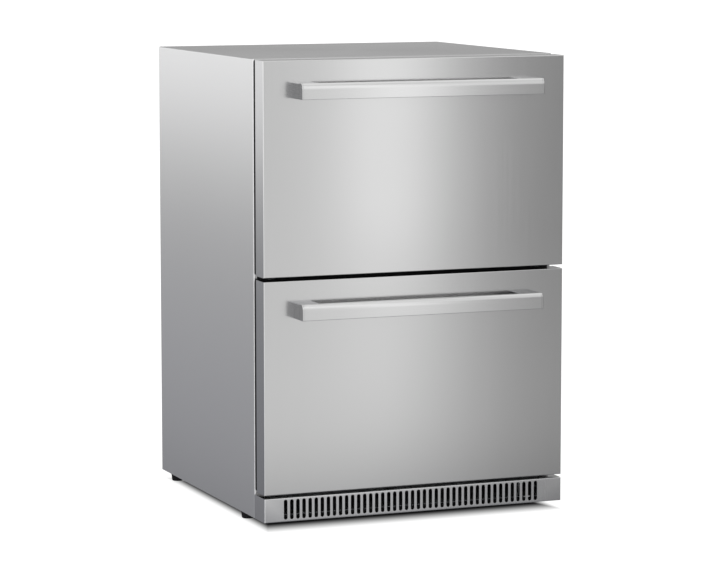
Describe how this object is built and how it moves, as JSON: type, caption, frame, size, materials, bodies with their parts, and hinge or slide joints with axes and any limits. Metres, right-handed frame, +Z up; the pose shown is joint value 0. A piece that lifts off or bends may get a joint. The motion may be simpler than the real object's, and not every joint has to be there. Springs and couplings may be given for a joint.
{
  "type": "undercounter drawer refrigerator",
  "caption": "Freestanding under-counter refrigerator in brushed stainless steel, with stacked pull-out drawers, bar handles and a slotted air grille at the base.",
  "frame": {"origin": "on the floor, at the centre of the footprint with the handles included", "axes": "+Z up, -Y towards the drawer fronts, +X to the right when facing the drawers"},
  "size_m": [0.598, 0.639, 0.8625],
  "materials": {
    "brushed_steel": "vertical brushed grain",
    "panel_steel": "fine brushed, satin",
    "handle_steel": "horizontal brushed grain",
    "zinc_steel": "galvanised, satin",
    "black_metal": "black satin enamel",
    "fin_metal": "mill finish",
    "liner_plastic": "smooth white",
    "black_plastic": "moulded, fine texture",
    "grey_plastic": "moulded, fine texture",
    "gasket_rubber": "matt extruded seal",
    "foam": "rigid foam, matt",
    "display_glass": "polished dark window",
    "lamp_plastic": "translucent, frosted"
  },
  "bodies": {
    "cabinet": {"left_side_panel": "panel_steel", "right_side_panel": "panel_steel", "top_panel": "panel_steel", "back_panel": "zinc_steel", "base_pan": "zinc_steel", "compartment_floor": "zinc_steel", "inner_liner": "liner_plastic", "cabinet_foam": "foam", "centre_mullion": "brushed_steel", "kick_grille": "brushed_steel", "machine_cover": "zinc_steel", "cord_gland": "black_plastic", "compressor": "black_metal", "condenser_coil": "black_metal", "drain_tray": "grey_plastic", "condenser_fan_frame": "black_plastic", "evaporator_cover": "liner_plastic", "evaporator_coil": "fin_metal", "evaporator_fan_frame": "black_plastic", "control_housing": "grey_plastic", "display_lens": "display_glass", "lamp_lens": "lamp_plastic", "upper_slide_outer_left": "zinc_steel", "upper_slide_outer_right": "zinc_steel", "lower_slide_outer_left": "zinc_steel", "lower_slide_outer_right": "zinc_steel"},
    "upper_drawer": {"upper_front_skin": "brushed_steel", "upper_inner_panel": "liner_plastic", "upper_front_foam": "foam", "upper_seal": "gasket_rubber", "upper_handle_bar": "handle_steel", "upper_handle_post_left": "handle_steel", "upper_handle_post_right": "handle_steel", "upper_frame": "zinc_steel", "upper_bin": "brushed_steel", "upper_slide_inner_left": "zinc_steel", "upper_slide_inner_right": "zinc_steel"},
    "lower_drawer": {"lower_front_skin": "brushed_steel", "lower_inner_panel": "liner_plastic", "lower_front_foam": "foam", "lower_seal": "gasket_rubber", "lower_handle_bar": "handle_steel", "lower_handle_post_left": "handle_steel", "lower_handle_post_right": "handle_steel", "lower_frame": "zinc_steel", "lower_bin": "brushed_steel", "lower_slide_inner_left": "zinc_steel", "lower_slide_inner_right": "zinc_steel"},
    "upper_slide_middle_left": {"upper_slide_middle_left": "zinc_steel"},
    "upper_slide_middle_right": {"upper_slide_middle_right": "zinc_steel"},
    "lower_slide_middle_left": {"lower_slide_middle_left": "zinc_steel"},
    "lower_slide_middle_right": {"lower_slide_middle_right": "zinc_steel"},
    "condenser_fan_rotor": {"condenser_fan_rotor": "black_plastic"},
    "evaporator_fan_rotor": {"evaporator_fan_rotor": "black_plastic"},
    "set_button": {"set_button": "black_plastic"},
    "lamp_button": {"lamp_button": "black_plastic"},
    "foot_front_left": {"foot_front_left": "black_plastic"},
    "foot_front_right": {"foot_front_right": "black_plastic"},
    "foot_rear_left": {"foot_rear_left": "black_plastic"},
    "foot_rear_right": {"foot_rear_right": "black_plastic"}
  },
  "joints": [
    {"name": "upper_drawer_slide", "type": "slide", "parent": "cabinet", "child": "upper_drawer", "axis": [0, -1, 0], "range_m": [0, 0.4]},
    {"name": "upper_slide_middle_left_travel", "type": "slide", "parent": "cabinet", "child": "upper_slide_middle_left", "axis": [0, -1, 0], "range_m": [0, 0.2]},
    {"name": "upper_slide_middle_right_travel", "type": "slide", "parent": "cabinet", "child": "upper_slide_middle_right", "axis": [0, -1, 0], "range_m": [0, 0.2]},
    {"name": "lower_drawer_slide", "type": "slide", "parent": "cabinet", "child": "lower_drawer", "axis": [0, -1, 0], "range_m": [0, 0.3]},
    {"name": "lower_slide_middle_left_travel", "type": "slide", "parent": "cabinet", "child": "lower_slide_middle_left", "axis": [0, -1, 0], "range_m": [0, 0.15]},
    {"name": "lower_slide_middle_right_travel", "type": "slide", "parent": "cabinet", "child": "lower_slide_middle_right", "axis": [0, -1, 0], "range_m": [0, 0.15]},
    {"name": "condenser_fan_spin", "type": "hinge", "parent": "cabinet", "child": "condenser_fan_rotor", "pos_m": [-0.042, 0.208, 0.1046], "axis": [1, 0, 0], "continuous": true},
    {"name": "evaporator_fan_spin", "type": "hinge", "parent": "cabinet", "child": "evaporator_fan_rotor", "pos_m": [0, 0.2372, 0.738], "axis": [0, -1, 0], "continuous": true},
    {"name": "set_button_press", "type": "slide", "parent": "cabinet", "child": "set_button", "axis": [0, 1, 0], "range_m": [0, 0.0012], "stiffness_N_per_m": 800, "springref_m": -0.0006},
    {"name": "lamp_button_press", "type": "slide", "parent": "cabinet", "child": "lamp_button", "axis": [0, 1, 0], "range_m": [0, 0.0012], "stiffness_N_per_m": 800, "springref_m": -0.0006},
    {"name": "foot_front_left_level", "type": "slide", "parent": "cabinet", "child": "foot_front_left", "axis": [0, 0, -1], "range_m": [0, 0.012]},
    {"name": "foot_front_right_level", "type": "slide", "parent": "cabinet", "child": "foot_front_right", "axis": [0, 0, -1], "range_m": [0, 0.012]},
    {"name": "foot_rear_left_level", "type": "slide", "parent": "cabinet", "child": "foot_rear_left", "axis": [0, 0, -1], "range_m": [0, 0.012]},
    {"name": "foot_rear_right_level", "type": "slide", "parent": "cabinet", "child": "foot_rear_right", "axis": [0, 0, -1], "range_m": [0, 0.012]}
  ],
  "couplings": [
    {"joint": "upper_slide_middle_left_travel", "follows": "upper_drawer_slide", "ratio": 0.5},
    {"joint": "upper_slide_middle_right_travel", "follows": "upper_drawer_slide", "ratio": 0.5},
    {"joint": "lower_slide_middle_left_travel", "follows": "lower_drawer_slide", "ratio": 0.5},
    {"joint": "lower_slide_middle_right_travel", "follows": "lower_drawer_slide", "ratio": 0.5}
  ]
}
